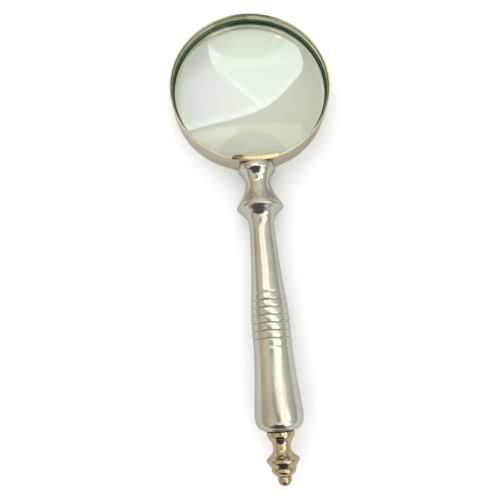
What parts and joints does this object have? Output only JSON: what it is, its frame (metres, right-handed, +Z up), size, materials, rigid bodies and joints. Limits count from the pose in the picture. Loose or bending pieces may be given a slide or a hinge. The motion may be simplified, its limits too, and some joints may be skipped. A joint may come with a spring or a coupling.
{
  "type": "magnifying glass",
  "caption": "Hand magnifier with a biconvex lens in a thin brass rim, a turned and grooved aluminium handle and a brass finial that unscrews.",
  "frame": {"origin": "centre of the footprint, on the surface that the glass lies on", "axes": "+Y runs along the handle to the lens, +Z up out of the lens's front, +X to the right when the handle points at the viewer. The glass is tipped 2.25 degrees about X, lens end down, onto its resting points."},
  "size_m": [0.09, 0.2592, 0.0296],
  "materials": {
    "champagne_brass": "polished",
    "polished_brass": "polished",
    "polished_aluminium": "polished",
    "plain_steel": "satin",
    "black_fibre": "matte",
    "lens_glass": "gloss"
  },
  "bodies": {
    "glass_and_handle": {"rim_band": "champagne_brass", "lens": "lens_glass", "lens_seat_strip": "champagne_brass", "lens_retaining_wire": "champagne_brass", "rim_saddle": "champagne_brass", "tie_rod": "plain_steel", "rim_lock_washer": "plain_steel", "rim_nut": "plain_steel", "ferrule": "polished_aluminium", "grip": "polished_aluminium"},
    "finial_washer_body": {"finial_washer": "black_fibre"},
    "finial_body": {"finial": "polished_brass"}
  },
  "joints": [
    {"name": "finial_travel", "type": "slide", "parent": "glass_and_handle", "child": "finial_washer_body", "axis": [0, -0.9992, 0.0393], "range_m": [0, 0.008]},
    {"name": "finial_unscrew", "type": "hinge", "parent": "finial_washer_body", "child": "finial_body", "pos_m": [0, -0.10303, 0.01736], "axis": [0, -0.9992, 0.0393], "range_deg": [0, 3600]}
  ],
  "couplings": [
    {"joint": "finial_travel", "follows": "finial_unscrew", "m_per_rad": 0.00012732}
  ]
}
